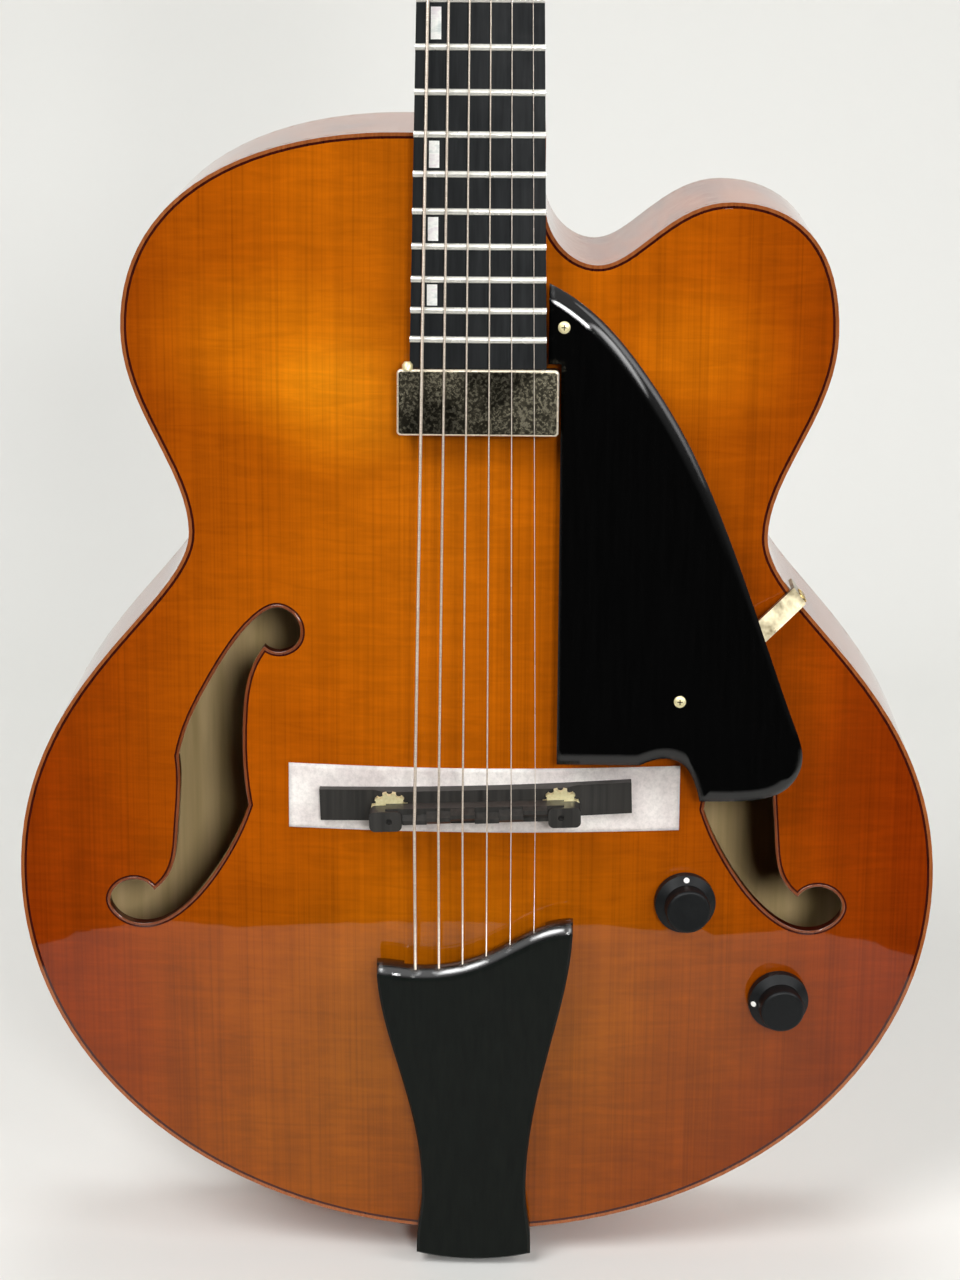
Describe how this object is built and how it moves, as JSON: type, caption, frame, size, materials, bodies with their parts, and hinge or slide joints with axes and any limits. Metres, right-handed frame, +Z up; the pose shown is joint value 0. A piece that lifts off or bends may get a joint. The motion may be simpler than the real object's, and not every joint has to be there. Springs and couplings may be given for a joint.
{
  "type": "archtop guitar",
  "caption": "Single-cutaway carved archtop guitar with f-holes, floating pickup and pickguard, adjustable bridge, ebony tailpiece and geared tuners.",
  "frame": {"origin": "where the axis of the end-pin socket meets the bottom of the rim, at mid depth of the rim", "axes": "+X to the treble side, +Y to the back, +Z up the neck"},
  "size_m": [0.406, 0.1428, 1.0467],
  "materials": {
    "spruce_top": "amber gloss lacquer over straight-grained spruce",
    "maple_body": "amber-brown gloss lacquer over figured maple",
    "inner_wood": "bare wood inside the body",
    "binding_wood": "lacquered tan wood",
    "dark_line": "dark red-brown inlaid line",
    "maple_neck": "amber-brown gloss lacquer",
    "ebony": "satin black ebony",
    "fret_metal": "polished nickel silver",
    "pearl": "white shell",
    "bone": "polished bone",
    "steel": "plain steel",
    "gold": "polished gold plate",
    "plain_string": "bright drawn steel",
    "wound_string": "nickel-wound steel",
    "white_sheet": "soft white sheet with a fine texture",
    "pickup_black": "dark bobbin and wax",
    "guard_black": "glossy black with a bevelled edge",
    "knob_black": "satin black"
  },
  "bodies": {
    "instrument": {"top_plate": "spruce_top", "back_plate": "maple_body", "top_binding": "binding_wood", "back_binding": "binding_wood", "purflings": "dark_line", "f_hole_bindings": "binding_wood", "bass_rib": "maple_body", "treble_rib": "maple_body", "top_lining": "inner_wood", "back_lining": "inner_wood", "neck_block": "inner_wood", "tail_block": "inner_wood", "tone_bars": "inner_wood", "headstock_veneer": "ebony", "neck": "maple_neck", "heel_cap": "ebony", "fretboard": "ebony", "frets": "fret_metal", "fret_inlays": "pearl", "nut": "bone", "truss_rod": "steel", "truss_rod_cover": "ebony", "tuner_housings": "gold", "tuner_bushings": "gold", "string_1": "plain_string", "string_2": "plain_string", "string_3": "wound_string", "string_4": "wound_string", "string_5": "wound_string", "string_6": "wound_string", "protector_sheet": "white_sheet", "bridge_base": "ebony", "bridge_posts": "gold", "tailpiece": "ebony", "tailpiece_bracket": "gold", "end_pin_jack": "gold", "strap_button": "gold", "pickup_cover": "gold", "pickup_core": "pickup_black", "pickup_bracket": "gold", "pickguard": "guard_black", "pickguard_bracket": "gold", "potentiometers": "steel"},
    "volume_control": {"volume_knob": "knob_black"},
    "tone_control": {"tone_knob": "knob_black"},
    "saddle": {"bridge_saddle": "ebony"},
    "bass_wheel": {"thumbwheel_bass": "gold"},
    "treble_wheel": {"thumbwheel_treble": "gold"},
    "key_1": {"tuner_key_1": "gold"},
    "post_1": {"tuner_post_1": "gold"},
    "key_2": {"tuner_key_2": "gold"},
    "post_2": {"tuner_post_2": "gold"},
    "key_3": {"tuner_key_3": "gold"},
    "post_3": {"tuner_post_3": "gold"},
    "key_4": {"tuner_key_4": "gold"},
    "post_4": {"tuner_post_4": "gold"},
    "key_5": {"tuner_key_5": "gold"},
    "post_5": {"tuner_post_5": "gold"},
    "key_6": {"tuner_key_6": "gold"},
    "post_6": {"tuner_post_6": "gold"}
  },
  "joints": [
    {"name": "volume_turn", "type": "hinge", "parent": "instrument", "child": "volume_control", "pos_m": [0.092, -0.05425, 0.166], "axis": [0.101, -0.9948, -0.0143], "range_deg": [-150, 150]},
    {"name": "tone_turn", "type": "hinge", "parent": "instrument", "child": "tone_control", "pos_m": [0.135, -0.04778, 0.118], "axis": [0.1005, -0.9931, -0.0599], "range_deg": [-240, 60]},
    {"name": "saddle_lift", "type": "slide", "parent": "instrument", "child": "saddle", "axis": [0, -1, 0], "range_m": [-0.002, 0.003], "deforming": ["string_1", "string_2", "string_3", "string_4", "string_5", "string_6"]},
    {"name": "bass_wheel_turn", "type": "hinge", "parent": "saddle", "child": "bass_wheel", "pos_m": [-0.03698, -0.0698, 0.21171], "axis": [0, -1, 0], "range_deg": [-899, 1349]},
    {"name": "treble_wheel_turn", "type": "hinge", "parent": "saddle", "child": "treble_wheel", "pos_m": [0.03698, -0.0698, 0.21429], "axis": [0, -1, 0], "range_deg": [-900, 1350]},
    {"name": "key_1_turn", "type": "hinge", "parent": "instrument", "child": "key_1", "pos_m": [0.03014, 0.00726, 0.90481], "axis": [1, 0, 0], "continuous": true},
    {"name": "post_1_turn", "type": "hinge", "parent": "instrument", "child": "post_1", "pos_m": [0.02214, -0.01397, 0.90582], "axis": [0, -0.9511, 0.309], "continuous": true},
    {"name": "key_2_turn", "type": "hinge", "parent": "instrument", "child": "key_2", "pos_m": [0.03148, 0.01931, 0.94191], "axis": [1, 0, 0], "continuous": true},
    {"name": "post_2_turn", "type": "hinge", "parent": "instrument", "child": "post_2", "pos_m": [0.02348, -0.00192, 0.94291], "axis": [0, -0.9511, 0.309], "continuous": true},
    {"name": "key_3_turn", "type": "hinge", "parent": "instrument", "child": "key_3", "pos_m": [0.03283, 0.03136, 0.979], "axis": [1, 0, 0], "continuous": true},
    {"name": "post_3_turn", "type": "hinge", "parent": "instrument", "child": "post_3", "pos_m": [0.02483, 0.01014, 0.98001], "axis": [0, -0.9511, 0.309], "continuous": true},
    {"name": "key_4_turn", "type": "hinge", "parent": "instrument", "child": "key_4", "pos_m": [-0.03283, 0.03136, 0.979], "axis": [-1, 0, 0], "continuous": true},
    {"name": "post_4_turn", "type": "hinge", "parent": "instrument", "child": "post_4", "pos_m": [-0.02483, 0.01014, 0.98001], "axis": [0, -0.9511, 0.309], "continuous": true},
    {"name": "key_5_turn", "type": "hinge", "parent": "instrument", "child": "key_5", "pos_m": [-0.03148, 0.01931, 0.94191], "axis": [-1, 0, 0], "continuous": true},
    {"name": "post_5_turn", "type": "hinge", "parent": "instrument", "child": "post_5", "pos_m": [-0.02348, -0.00192, 0.94291], "axis": [0, -0.9511, 0.309], "continuous": true},
    {"name": "key_6_turn", "type": "hinge", "parent": "instrument", "child": "key_6", "pos_m": [-0.03014, 0.00726, 0.90481], "axis": [-1, 0, 0], "continuous": true},
    {"name": "post_6_turn", "type": "hinge", "parent": "instrument", "child": "post_6", "pos_m": [-0.02214, -0.01397, 0.90582], "axis": [0, -0.9511, 0.309], "continuous": true}
  ],
  "couplings": [
    {"joint": "saddle_lift", "follows": "bass_wheel_turn", "m_per_rad": 0.00012732},
    {"joint": "treble_wheel_turn", "follows": "bass_wheel_turn", "ratio": 1},
    {"joint": "post_1_turn", "follows": "key_1_turn", "ratio": 0.0625},
    {"joint": "post_2_turn", "follows": "key_2_turn", "ratio": 0.0625},
    {"joint": "post_3_turn", "follows": "key_3_turn", "ratio": 0.0625},
    {"joint": "post_4_turn", "follows": "key_4_turn", "ratio": -0.0625},
    {"joint": "post_5_turn", "follows": "key_5_turn", "ratio": -0.0625},
    {"joint": "post_6_turn", "follows": "key_6_turn", "ratio": -0.0625}
  ]
}
